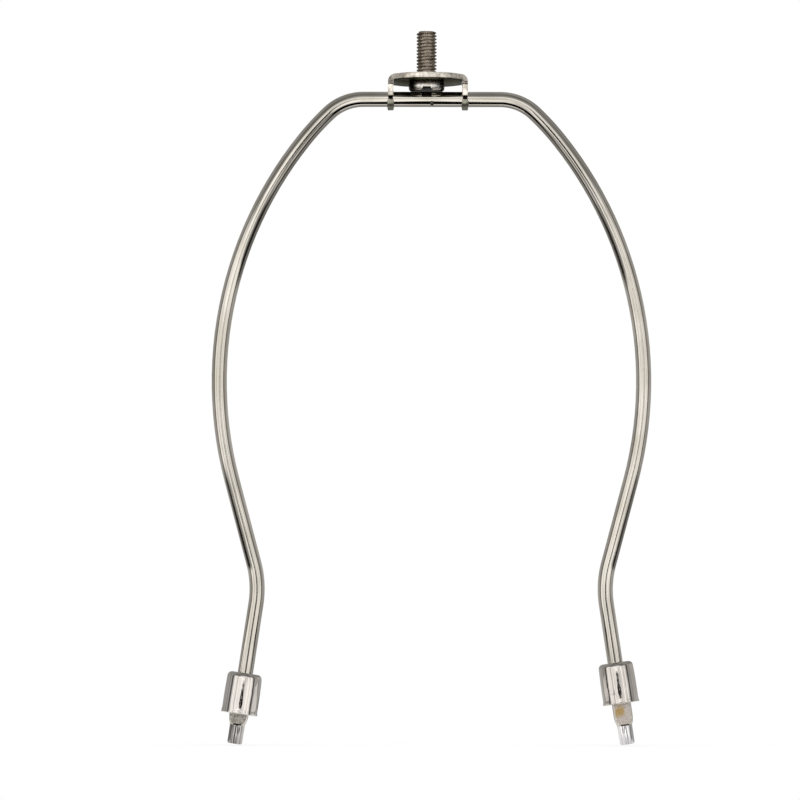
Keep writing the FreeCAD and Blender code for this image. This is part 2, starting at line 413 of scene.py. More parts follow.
@dataclass(frozen=True)
class DrawnMetal(PlatedMetal):
    """Plate on wire that was pulled through a die, whose lines run along it and
    still show in the shine. They are too fine to show and are drawn about
    0.5 mm apart. Under the saddle's eyes the wire is painted black as shade."""

    grain_mm: float = 0.5
    grain_depth: float = 0.001
    wave_mm: float = 2.4
    wave_depth: float = 0.02
    line_gap: float = 0.518
    line_tone: float = 0.8
    eye_shade_tone: str = "0C0908"
    eye_places: tuple[float, ...] = (-11.775, 9.475)
    eye_shade_half: float = 0.62
    eye_shade_fade: float = 0.12

    def stain_and_shade(self, add: Adder, place: Socket, colour: Node) -> Node:
        """Draws the lines, and the painted shade under the saddle's eyes, over the colour.

        Args:
            add: Adds a node to the material.
            place: Object coordinates.
            colour: The node that gives the plate's colour.

        Returns:
            The node that gives the marked colour.
        """
        along = add("Attribute", attribute_name="drawing").outputs["Vector"]
        scale = WIRE_R / self.line_gap
        lines = add("TexNoise", Vector=along, Scale=scale, Detail=2.0, Roughness=0.7)
        tone = add(
            "MapRange", Value=lines, From_Min=0.36, From_Max=0.62, To_Min=self.line_tone, To_Max=1.0
        )
        colour = add("Mix", data_type="RGBA", blend_type="MULTIPLY", i0=1.0, i6=colour, i7=tone)
        across = add("SeparateXYZ", Vector=place).outputs["X"]
        # Painted shade: the wire is painted near black under each eye of the saddle.
        for middle in self.eye_places:
            apart = add("Math", operation="SUBTRACT", i0=across, i1=middle * MM)
            share = add(
                "MapRange", Value=add("Math", operation="ABSOLUTE", i0=apart),
                From_Min=self.eye_shade_half * MM, From_Max=(self.eye_shade_half + self.eye_shade_fade) * MM,
                To_Min=1.0, To_Max=0.0,
            )
            tone = linear(self.eye_shade_tone)
            colour = add("Mix", data_type="RGBA", i0=share, i6=colour, i7=tone)
        return colour


@dataclass(frozen=True)
class CoinedMetal(PlatedMetal):
    """Plate on the faces that a press squeezed flat, paler on the right leg."""

    pale: str = "B8B0A8"

    def stain_and_shade(self, add: Adder, place: Socket, colour: Node) -> Node:
        """Makes the right leg paler and lays the spot over it.

        Args:
            add: Adds a node to the material.
            place: Object coordinates.
            colour: The node that gives the plate's colour.

        Returns:
            The node that gives the stained colour.
        """
        across = add("SeparateXYZ", Vector=place).outputs["X"]
        right = add("Math", operation="GREATER_THAN", i0=across, i1=0.0)
        pale = linear(self.pale)
        colour = add("Mix", data_type="RGBA", i0=right, i6=colour, i7=pale)
        return super().stain_and_shade(add, place, colour)


# Drawn steel wire with nickel plate: a warm mirror, softly streaked along its length.
DRAWN_NICKEL = DrawnMetal(
    "drawn_nickel_plate", "D2CCC2", "C4BEB2", gloss=0.07, wave_mm=6.0, wave_depth=0.01
)
# The left tip: a mirror with dark lines along it, which are painted reflections.
LEFT_TIP = DrawnMetal("scored_nickel_tip", "D8D4D0", "A8A4A0", gloss=0.07, line_tone=0.12)
# The right tip: a pale, softer mirror, with faint painted reflection lines.
RIGHT_TIP = DrawnMetal("pale_nickel_tip", "F4F0F0", "DCD8DA", gloss=0.12, line_tone=0.6)
# Nickel plate squeezed by a coining die: matt and speckled, with a dried yellow-brown stain.
COINED_NICKEL = CoinedMetal(
    "coined_nickel_face", "AAA69E", "7C766C", gloss=0.36, grain_depth=0.05, wave_depth=0.05,
    cloud_mm=0.7,
    spot=Spot(
        "A88A4C", (53.4, -1.5, 9.6), reach=2.1, near_share=0.85, fade=1.2, fray_mm=1.1,
        fray_depth=2.6,
    ),
)
# Nickel plate on stamped sheet: a satin shine with soft dark clouds.
SADDLE_NICKEL = PlatedMetal(
    "stamped_nickel_plate", "D8D2C8", "B4AEA4", gloss=0.16, grain_depth=0.006, wave_mm=3.0,
    wave_depth=0.05, cloud_mm=3.0,
)
# The same plate under the disc and inside the ears, painted dark grey as shade: dark grey even
# at a flat angle, with a brown painted shadow and reflection of the head round the screw.
SHADED_INNER_NICKEL = PlatedMetal(
    "dull_inner_plate", "5C5D56", "4A4B44", gloss=0.3, wave_mm=4.0, edge_tone="BCBCAE",
    spot=Spot("2A1E14", (-1.5, 0.0, 188.7), reach=8.2, near_share=0.92),
)
# Plate that the crimp of the lips has crazed: a dull green-grey.
LIP_NICKEL = PlatedMetal("crimped_lip_plate", "A6A494", "8E8C7E", gloss=0.34, cloud_mm=1.5)
# Nickel plate on sheared edges: pale and satin, with darker smears.
SHEARED_NICKEL = PlatedMetal(
    "sheared_nickel_edge", "FAF2E6", "A49A8C", gloss=0.3, grain_depth=0.006, cloud_mm=2.2
)
# Thin nickel plate on a rolled thread: dull and brownish.
SCREW_NICKEL = PlatedMetal(
    "dull_screw_nickel", "B4A898", "807466", gloss=0.27, grain_mm=0.3, wave_depth=0.02,
    cloud_mm=1.6,
)
# The same on the pressed head: the middle of its front painted bright as a highlight, and all
# round that painted dark brown, which is shade and reflection and partly rust.
HEAD_NICKEL = PlatedMetal(
    "worn_screw_head", "F6F2EA", "D4CCC0", gloss=0.3, grain_depth=0.006, wave_mm=3.0, cloud_mm=2.4,
    spot=Spot("2A1E14", (-0.7, -5.1, 188.0), reach=4.7, near_share=0.0, far_share=0.96),
)
# Near black in the screw's slot and the wire's nick: painted shade, with hardly a shine.
SLOT_SHADE = PlatedMetal(
    "grimy_screw_slot", "383430", "201C18", gloss=0.5, grain_mm=0.3, wave_depth=0.02, cloud_mm=1.0,
)
# Bright nickel plate on drawn sheet: a clean mirror, slightly wavy from the draw.
FERRULE_NICKEL = PlatedMetal(
    "bright_ferrule_nickel", "CCC6C0", "C0BAB2", gloss=0.05, grain_mm=0.5, grain_depth=0.001,
    wave_mm=2.6, wave_depth=0.035,
)


def coat(piece: Piece, finishes: list[PlatedMetal], choose: Callable[[Face], PlatedMetal]) -> None:
    """Gives each face of a piece its finish.

    Args:
        piece: The piece.
        finishes: The piece's finishes, the main one first.
        choose: Tells a face's finish.
    """
    for finish in finishes:
        piece.data.materials.append(finish.material())
    for face in piece.data.polygons:
        face.material_index = finishes.index(choose(face))


# Pieces


@dataclass
class BowWire:
    """The bent wire bow, from one coined tip to the other."""

    top: float
    wire_r: float = WIRE_R
    top_half: float = 19.5
    shoulder_r: float = 14.3
    haunch_r: float = 75.2
    bow_r: float = 110.5
    waist_r: float = 28.1
    shoulder_lean: float = 46.4
    haunch_lean: float = 38.5
    lower_lean: float = -14.95
    leg_lean: float = 8.55
    lower_run: float = 24.4
    leg_run: float = 40.1
    tip_r: float = 2.125
    tip_length: float = 5.3
    tip_round: float = 0.5
    tip_step: float = 0.12
    coin_r: float = 2.72
    coin_half: float = 1.5
    coin_top: float = 19.8
    coin_ramp: float = 0.45
    coin_taper: float = 2.9
    nick_depth: float = 0.35
    nick_half: float = 0.42
    nick_turn: float = 39.0
    nick_shade_half: float = 0.45
    line_stretch: float = 0.012
    sides: int = 64
    point: Vector = field(default_factory=Vector)
    lean: float = 90.0

    def heading(self) -> Vector:
        """Direction of travel down the right side."""
        turn = math.radians(self.lean)
        return Vector((math.sin(turn), 0, -math.cos(turn)))

    def run(self, length: float) -> None:
        """Extrudes a straight stretch.

        Args:
            length: Its length in millimetres.
        """
        step = self.heading() * length * MM
        extrude_ring(step)
        self.point = self.point + step

    def bend(self, radius: float, new_lean: float) -> None:
        """Spins a bend.

        Args:
            radius: The bend's radius in millimetres.
            new_lean: The wire's lean after the bend, in degrees.
        """
        inward = 1 if new_lean < self.lean else -1
        along = self.heading()
        centre = self.point + Vector((along.z, 0, -along.x)) * inward * radius * MM
        angle = math.radians(self.lean - new_lean)
        steps = max(6, round(abs(math.degrees(angle)) / 2))
        bpy.ops.mesh.spin(steps=steps, angle=-angle, center=centre, axis=(0, 1, 0))
        self.lean = new_lean
        away = self.heading()
        self.point = centre - Vector((away.z, 0, -away.x)) * inward * radius * MM

    def build(self) -> Piece:
        """Models the bow.

        Returns:
            The piece.
        """
        self.point = Vector((0, 0, self.top * MM))
        piece = start_ring("bow_wire", self.wire_r * MM, self.point, math.pi / 2, self.sides)
        self.run(self.nick_half)
        self.run(self.top_half - self.nick_half)
        self.bend(self.shoulder_r, self.shoulder_lean)
        self.bend(self.haunch_r, self.haunch_lean)
        self.bend(self.bow_r, self.lower_lean)
        self.run(self.lower_run)
        self.bend(self.waist_r, self.leg_lean)
        self.run(self.leg_run - self.coin_top)
        self.leg_end(piece)
        self.cut_nick(piece)
        self.mark_drawing(piece)
        mirror = piece.modifiers.new("other_half", "MIRROR")
        mirror.use_axis = (True, False, False)
        mirror.merge_threshold = 1e-5
        apply_modifiers(piece)
        settle(piece)
        return piece

    def leg_end(self, piece: Piece) -> None:
        """Extrudes the coined leg end from the leg's last ring, round at first,
        and then presses it flat in front and behind.

        Args:
            piece: The bow, in edit mode with the leg's last ring selected.
        """
        ramp_low = self.tip_length + self.coin_ramp
        shoulder = self.coin_top - (self.coin_r - self.wire_r)
        flat = [
            (self.coin_top - self.coin_ramp, self.wire_r + self.coin_ramp),
            (shoulder, self.coin_r),
            (self.tip_length + self.coin_taper, self.coin_r),
        ]
        for share in (0.8, 0.6, 0.4, 0.2):
            swell = math.sin(share * math.pi / 2) * (self.coin_r - self.tip_r)
            height = self.tip_length + self.coin_taper * share
            if height > ramp_low:
                flat.append((height, self.tip_r + swell))
        flat.append((ramp_low, self.tip_r + self.tip_step))
        round_end = [(self.tip_length, self.tip_r), (self.tip_round, self.tip_r)]
        for turn in (30, 60, 90):
            angle = math.radians(turn)
            inset = self.tip_round * (1 - math.cos(angle))
            round_end.append((self.tip_round * (1 - math.sin(angle)), self.tip_r - inset))
        pressed = []
        height, radius = self.coin_top, self.wire_r
        for new_height, new_radius in flat + round_end:
            self.run(height - new_height)
            factor = new_radius / radius
            bpy.ops.transform.resize(value=(factor,) * 3, center_override=self.point)
            height, radius = new_height, new_radius
            if new_height >= ramp_low:
                pressed += self.selected(piece)
        bpy.ops.mesh.edge_face_add()
        self.press_flat(piece, pressed)

    def selected(self, piece: Piece) -> list[int]:
        """Lists the selected vertices.

        Args:
            piece: The bow, in edit mode.

        Returns:
            Their numbers.
        """
        set_mode("OBJECT")
        chosen = [v.index for v in piece.data.vertices if v.select]
        set_mode("EDIT")
        return chosen

    def press_flat(self, piece: Piece, pressed: list[int]) -> None:
        """Presses rings flat in front and behind.

        Args:
            piece: The bow, in edit mode.
            pressed: Numbers of the rings' vertices.
        """
        half = self.coin_half * MM
        for side in (-1, 1):
            set_mode("OBJECT")
            beyond = [i for i in pressed if piece.data.vertices[i].co.y * side > half]
            select_vertices(piece, beyond)
            bpy.ops.transform.resize(value=(1, 0, 1), center_override=(0, side * half, 0))

    def cut_nick(self, piece: Piece) -> None:
        """Presses the small nick into the first ring.

        Args:
            piece: The bow, in edit mode.
        """
        turn = math.radians(self.nick_turn)
        towards = Vector((0, -math.sin(turn), -math.cos(turn)))
        middle = Vector((0, 0, self.top * MM))
        limit = (self.wire_r - self.nick_depth) * MM
        set_mode("OBJECT")
        first = range(self.sides)
        beyond = {i: (piece.data.vertices[i].co - middle).dot(towards) - limit for i in first}
        for number, depth in beyond.items():
            if depth > 0:
                select_vertices(piece, [number])
                bpy.ops.transform.translate(value=towards * -depth)
        set_mode("OBJECT")

    def in_nick(self, place: Vector) -> bool:
        """Tells whether a place on the bow lies in the middle of the nick, which is painted dark as
        shade.

        Args:
            place: A place on the bow, in metres.

        Returns:
            Whether it does.
        """
        turn = math.radians(self.nick_turn)
        off = place - Vector((0, 0, self.top * MM))
        beside = abs(off.z * math.sin(turn) - off.y * math.cos(turn))
        ahead = off.y * math.sin(turn) + off.z * math.cos(turn) < 0
        return abs(off.x) < self.nick_half * MM and beside < self.nick_shade_half * MM and ahead

    def mark_drawing(self, piece: Piece) -> None:
        """Stores where each vertex is round and along the wire, so that the
        drawing lines can follow it.

        Args:
            piece: The half bow, whose rings are numbered in order.
        """
        mesh = piece.data
        places = [v.co.copy() for v in mesh.vertices]
        rings = [places[i : i + self.sides] for i in range(0, len(places), self.sides)]
        travelled, marks = 0.0, []
        for number, ring in enumerate(rings):
            if number:
                travelled += (ring[0] - rings[number - 1][0]).length / MM
            for step in range(len(ring)):
                turn = math.tau * step / self.sides
                marks += [math.cos(turn), math.sin(turn), travelled * self.line_stretch]
        mesh.attributes.new("drawing", "FLOAT_VECTOR", "POINT").data.foreach_set("vector", marks)

    def finish_of(self, face: Face) -> PlatedMetal:
        """Tells a face's finish.

        Args:
            face: A face of the bow.

        Returns:
            The finish.
        """
        place = face.center
        pressed = abs(abs(place.y) - self.coin_half * MM) < 1e-5
        if place.z < self.coin_top * MM and pressed and abs(face.normal.y) > 0.995:
            return COINED_NICKEL
        if place.z < self.tip_length * MM:
            return LEFT_TIP if place.x < 0 else RIGHT_TIP
        # The middle of the nick is painted near black as shade.
        return SLOT_SHADE if self.in_nick(place) else DRAWN_NICKEL

    def dress(self, piece: Piece) -> None:
        """Gives the bow its plate, and the coined faces their stamped look.

        Args:
            piece: The bow.
        """
        finishes = [DRAWN_NICKEL, COINED_NICKEL, LEFT_TIP, RIGHT_TIP, SLOT_SHADE]
        coat(piece, finishes, self.finish_of)
        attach(piece, "bow")
        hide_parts("harp_wire")


@dataclass
class Ferrule:
    """A drawn cup that slides on one leg."""

    side: Side
    mouth: Vector
    splay: float
    height: float = 11.7
    rim_r: float = 5.2
    wall: float = 0.55
    top_r: float = 4.925
    corner: float = 1.3
    hole_r: float = 2.425
    hole_round: float = 0.12
    profile: Outline = (
        (5.1, 0.8), (5.05, 1.5), (5.055, 3.0), (5.06, 4.5), (5.045, 6.0), (5.01, 7.6), (4.97, 9.2),
    )
    sides: int = 96

    def build(self) -> Piece:
        """Models the cup.

        Returns:
            The piece.
        """
        lip = self.wall / 2
        rim = (self.rim_r - lip, lip)
        bend = (self.top_r - self.corner, self.height - self.corner)
        inner_r, inner_foot = self.profile[1]
        hole = (self.hole_r + self.hole_round, self.height - self.hole_round)
        outline = [
            *arc_points(rim, lip, -90, 0, 4),
            *self.profile,
            *arc_points(bend, self.corner, 0, 90, 8),
            *arc_points(hole, self.hole_round, 90, 180, 3),
            (self.hole_r, self.height - self.wall),
            *arc_points(bend, self.corner - self.wall, 90, 0, 5),
            (inner_r - self.wall, inner_foot),
            *arc_points(rim, lip, 180, 270, 4),
        ]
        outline[-1] = outline[0]
        piece = turned_piece(self.name(), outline, self.sides)
        piece.rotation_euler = (0, -self.side.value * self.splay, 0)
        piece.location = self.mouth
        settle(piece)
        return piece

    def name(self) -> str:
        """The piece's name."""
        return f"{self.side.name.lower()}_cup"

    def dress(self, piece: Piece) -> None:
        """Gives the cup its bright plate.

        Args:
            piece: The cup.
        """
        node = f"{self.side.name.lower()}_ferrule"
        piece.data.materials.append(FERRULE_NICKEL.material())
        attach(piece, node)
        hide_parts(node)


@dataclass
class FinialScrew:
    """The slotted screw, head down, with its finial thread."""

    foot: float
    seat: float
    top: float
    centre_x: float
    crest_r: float = 2.9
    root_r: float = 2.36
    pitch: float = 0.945
    crest_share: float = 0.2
    root_start: float = 0.88
    chamfer: float = 0.45
    chamfer_taper: float = 0.975
    slot_width: float = 2.1
    slot_flare: float = 1.64
    slot_depth: float = 1.0
    slot_rise: float = 0.6
    cutter_height: float = 1.5
    cutter_length: float = 14.0
    head_profile: Outline = (
        (4.2, 0.0), (4.45, 0.03), (4.66, 0.115), (4.85, 0.25), (5.0, 0.43),
        (5.1, 0.8), (5.15, 1.35), (5.1, 1.9), (4.99, 2.4),
    )
    seat_r: float = 4.85
    worn_edge: float = 0.12
    head_sides: int = 96
    sides: int = 48
    rings_per_turn: int = 12

    def thread_radius(self, turn: float) -> float:
        """Works out the radius of the thread's section.

        Args:
            turn: Where, as a share of a turn.

        Returns:
            The radius in millimetres.
        """
        off_crest = abs(((turn + 0.5) % 1) - 0.5) * 2
        slope = (off_crest - self.crest_share) / (self.root_start - self.crest_share)
        return self.crest_r - (self.crest_r - self.root_r) * min(1.0, max(0.0, slope))

    def thread(self) -> Piece:
        """Models the threaded shank, as one section that turns as it rises.

        Returns:
            The piece.
        """
        start = Vector((0, 0, self.seat * MM))
        piece = start_ring("screw_thread", self.root_r * MM, start, 0, self.sides)
        set_mode("OBJECT")
        turns = [math.atan2(v.co.y, v.co.x) / math.tau for v in piece.data.vertices]
        for number, turn in enumerate(turns):
            factor = self.thread_radius(turn) / self.root_r
            select_vertices(piece, [number])
            bpy.ops.transform.resize(value=(factor, factor, 1), center_override=(0, 0, 0))
        bpy.ops.mesh.select_all(action="SELECT")
        bpy.ops.mesh.edge_face_add()
        length = self.top - self.seat
        count = round(length * self.rings_per_turn / self.pitch)
        rise = length / count
        step = math.tau * rise / self.pitch
        for ring in range(count):
            left = length - rise * ring
            extrude_ring(Vector((0, 0, rise * MM)))
            bpy.ops.transform.rotate(value=-step, orient_axis="Z", center_override=(0, 0, 0))
            if left <= self.chamfer + rise / 2:
                taper = (self.chamfer_taper, self.chamfer_taper, 1)
                bpy.ops.transform.resize(value=taper, center_override=(0, 0, 0))
        set_mode("OBJECT")
        return piece

    def head(self) -> Piece:
        """Models the round head with its slot.

        Returns:
            The piece.
        """
        low = self.foot
        outline = [(radius, low + rise) for radius, rise in self.head_profile]
        outline.append((self.seat_r, self.seat))
        piece = turned_piece("screw_head", outline, self.head_sides)
        settle(piece)
        deselect_all()
        middle = low + self.slot_depth - self.cutter_height / 2
        bpy.ops.mesh.primitive_cube_add(size=1, location=(0, 0, middle * MM))
        cutter = bpy.context.object
        cutter.scale = Vector((self.slot_width, self.cutter_length, self.cutter_height)) * MM
        bpy.ops.object.transform_apply(location=True, rotation=True, scale=True)
        lower = [v.index for v in cutter.data.vertices if v.co.z < low * MM]
        set_mode("EDIT")
        select_vertices(cutter, lower)
        bpy.ops.transform.resize(value=(self.slot_flare, 1, 1), center_override=(0, 0, 0))
        shallow = [v.index for v in cutter.data.vertices if v.co.z > low * MM and v.co.y > 0]
        select_vertices(cutter, shallow)
        bpy.ops.transform.translate(value=(0, 0, -self.slot_rise * MM))
        set_mode("OBJECT")
        slot = piece.modifiers.new("slot", "BOOLEAN")
        slot.operation = "DIFFERENCE"
        slot.object = cutter
        apply_modifiers(piece)
        bpy.data.objects.remove(cutter)
        ease_edges(piece, "worn_edges", self.worn_edge)
        return piece

    def build(self) -> Piece:
        """Models the screw.

        Returns:
            The piece.
        """
        thread = self.thread()
        head = self.head()
        activate(head)
        thread.select_set(True)
        bpy.context.view_layer.objects.active = thread
        bpy.ops.object.join()
        piece = bpy.context.object
        piece.name = piece.data.name = "finial_screw"
        piece.location.x = self.centre_x * MM
        settle(piece)
        return piece

    def finish_of(self, face: Face) -> PlatedMetal:
        """Tells a face's finish.

        Args:
            face: A face of the screw.

        Returns:
            The finish.
        """
        place = face.center
        slot_half = self.slot_width * self.slot_flare / 2 * MM
        low = self.foot * MM + 1e-5 < place.z < (self.foot + self.slot_depth) * MM + 1e-5
        wall = abs(face.normal.x) > 0.8 or face.normal.z < -0.9
        # The slot's walls and floor are painted near black as shade.
        if low and wall and abs(place.x - self.centre_x * MM) < slot_half:
            return SLOT_SHADE
        return HEAD_NICKEL if place.z < self.seat * MM else SCREW_NICKEL

    def dress(self, piece: Piece) -> None:
        """Gives the screw its dull plate.

        Args:
            piece: The screw.
        """
        coat(piece, [SCREW_NICKEL, SLOT_SHADE, HEAD_NICKEL], self.finish_of)
        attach(piece, "saddle")
        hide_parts("finial_stud")


@dataclass
class TopSaddle:
    """The stamped saddle: the solid's own shape with its edges eased."""

    wire_z: float
    top: float
    middle_x: float
    inner_x: float = 10.6
    split_rise: float = 0.25
    ear_x: float = 10.625
    lip_top: float = -0.3
    lip_foot: float = -3.2
    lip_swell: float = 0.3
    thickness: float = 1.5
    under_margin: float = 0.2
    edge: float = 0.16

    def build(self, solid: Piece) -> Piece:
        """Copies the solid, merges it and rounds its sheared edges.

        Args:
            solid: The CAD node.

        Returns:
            The piece.
        """
        piece = bpy.data.objects.new("stamped_saddle", solid.data.copy())
        bpy.context.collection.objects.link(piece)
        piece.data.materials.clear()
        activate(piece)
        set_mode("EDIT")
        bpy.ops.mesh.select_all(action="SELECT")
        bpy.ops.mesh.remove_doubles(threshold=1e-6)
        bpy.ops.mesh.dissolve_limited(angle_limit=math.radians(0.5))
        self.swell_lips(piece)
        set_mode("OBJECT")
        ease_edges(piece, "sheared_edges", self.edge)
        bpy.ops.object.shade_smooth_by_angle(angle=SMOOTH_ANGLE)
        return piece

    def swell_lips(self, piece: Piece) -> None:
        """Widens each lip below its split, most at half its height, as the crimp
        pressed it.

        Args:
            piece: The saddle, in edit mode.
        """
        set_mode("OBJECT")
        low, high = (self.wire_z + self.lip_foot) * MM, (self.wire_z + self.lip_top) * MM
        lips = {v.index: v.co.copy() for v in piece.data.vertices if v.co.z < high + 1e-6}
        for side in Side:
            centre = (self.middle_x + side.value * self.ear_x) * MM
            lip = {number: place for number, place in lips.items() if place.x * side.value > 0}
            for level in sorted({round(place.z, 6) for place in lip.values()}):
                factor = 1 + self.lip_swell * math.sin(math.pi * (level - low) / (high - low))
                select_vertices(piece, [i for i, p in lip.items() if round(p.z, 6) == level])
                bpy.ops.transform.resize(value=(factor, 1, 1), center_override=(centre, 0, 0))
        set_mode("EDIT")

    def finish_of(self, face: Face) -> PlatedMetal:
        """Tells a face's finish.

        Args:
            face: A face of the saddle.

        Returns:
            The finish.
        """
        place, normal = face.center, face.normal
        # The lips' sides, the disc's underside and the ears' inner faces get the dark inner plate,
        # which is painted shade.
        if place.z < (self.wire_z + self.split_rise) * MM:
            return SHADED_INNER_NICKEL if abs(normal.x) > 0.3 else LIP_NICKEL
        disc_foot = self.top - self.thickness - self.under_margin
        under = normal.z < -0.9 and place.z > disc_foot * MM
        inside = abs(normal.x) > 0.9 and abs(place.x - self.middle_x * MM) < self.inner_x * MM
        if under or inside:
            return SHADED_INNER_NICKEL
        sheared = abs(normal.z) < 0.9 and abs(normal.y) > 0.1
        return SHEARED_NICKEL if sheared else SADDLE_NICKEL

    def dress(self, piece: Piece) -> None:
        """Gives the saddle its plate.

        Args:
            piece: The saddle.
        """
        finishes = [SADDLE_NICKEL, SHADED_INNER_NICKEL, LIP_NICKEL, SHEARED_NICKEL]
        coat(piece, finishes, self.finish_of)
        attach(piece, "saddle")
        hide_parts("top_saddle")


# Studio


def angle_window(add: Adder, angle: Node, start: float, end: float) -> Node:
    """Picks out the angles between two.

    Args:
        add: Adds a node to the world.
        angle: The node that gives an angle in radians.
        start: The lower angle in degrees.
        end: The upper angle in degrees.

    Returns:
        The node that gives 1 between the two, 0 outside them and a soft edge.
    """
    rising, falling = (
        add(
            "MapRange", Value=angle, From_Min=math.radians(edge - soft),
            From_Max=math.radians(edge + soft),
        )
        for edge, soft in ((start, SOFT_DEGREES), (end, -SOFT_DEGREES))
    )
    return add("Math", operation="MULTIPLY", i0=rising, i1=falling)


def any_ray(add: Adder, *kinds: str) -> Node:
    """Picks out rays of some kinds.

    Args:
        add: Adds a node to the tree.
        *kinds: Names of the Light Path node's outputs.

    Returns:
        The node that gives 1 for such a ray and 0 for any other.
    """
    path = add("LightPath").outputs
    picked = path[kinds[0]]
    for kind in kinds[1:]:
        picked = add("Math", operation="MAXIMUM", i0=picked, i1=path[kind])
    return picked


@dataclass(frozen=True)
class LightBand:
    """Light of the surroundings for the directions that lie one way round from
    the panel's middle. That way is given by its rise, from -1 straight down to
    1 straight up, and the band takes over from the one before it between two
    rises. Its levels go by the angle from the panel's middle, in degrees."""

    blend_from: float
    blend_to: float
    levels: Outline

    def light(self, add: Adder, off: Node) -> Node:
        """Adds the band's light.

        Args:
            add: Adds a node to the world.
            off: The node that gives the angle from the panel's middle.

        Returns:
            The node that gives the level.
        """
        place = add("MapRange", Value=off, From_Min=-math.pi, From_Max=math.pi)
        ramp = add("ValToRGB", Fac=place)
        set_ramp(ramp, [((angle + 180) / 360, (v, v, v, 1)) for angle, v in self.levels])
        return ramp


# Angle from the panel's middle in degrees, and the light's level there.
GROUND = ((0, 1.6), (20, 1.7), (45, 1.5), (50, 0.003), (84, 0.003), (88, 0.45), (110, 0.45))
LOW_SIDES = (
    (0, 1.7), (22, 1.5), (30, 1.0), (35, 0.25), (43, 0.2), (48, 0.75),
    (62, 0.85), (70, 0.25), (74, 0.03), (86, 0.03), (94, 0.3), (110, 0.36),
)
DIM_SIDES = (
    (0, 1.8), (23, 1.6), (29, 0.85), (38, 0.45), (50, 0.4),
    (56, 0.2), (60, 0.02), (90, 0.02), (98, 0.12), (110, 0.35),
)
LEVEL_SIDES = (
    (0, 1.35), (20, 1.35), (40, 1.6), (55, 1.55), (63, 1.25),
    (67, 0.9), (71, 0.1), (76, 0.1), (79, 0.56), (110, 0.64),
)
CEILING = (
    (0, 1.7), (20, 1.6), (29, 1.1), (38, 0.5), (60, 0.36), (70, 0.22), (78, 0.4), (100, 0.48),
)
SURROUNDINGS = (
    LightBand(-1.0, -1.0, GROUND),
    LightBand(-0.67, -0.55, LOW_SIDES),
    LightBand(-0.42, -0.35, DIM_SIDES),
    LightBand(-0.21, -0.165, LEVEL_SIDES),
    LightBand(0.47, 0.58, CEILING),
)


@dataclass(frozen=True)
class CameraBar:
    """A dark bar of the camera and its stand before the light panel, in degrees:
    its place, its tilt, its ends from that place and its half width."""

    azimuth: float
    elevation: float
    tilt: float
    start: float
    end: float
    half_width: float

    def shade(self, add: Adder, aim: Node) -> Node:
        """Picks out the directions that the bar hides.

        Args:
            add: Adds a node to the world.
            aim: The node that gives a direction's azimuth and elevation.

        Returns:
            The node that gives 1 behind the bar and 0 beside it.
        """
        place = (math.radians(self.azimuth), math.radians(self.elevation), 0)
        apart = add("VectorMath", operation="SUBTRACT", i0=aim, i1=place)
        tilt = math.radians(self.tilt)
        ways = ((math.cos(tilt), math.sin(tilt), 0), (-math.sin(tilt), math.cos(tilt), 0))
        ends = ((self.start, self.end), (-self.half_width, self.half_width))
        along, across = (
            angle_window(add, add("VectorMath", operation="DOT_PRODUCT", i0=apart, i1=way), *end)
            for way, end in zip(ways, ends)
        )
        return add("Math", operation="MULTIPLY", i0=along, i1=across)


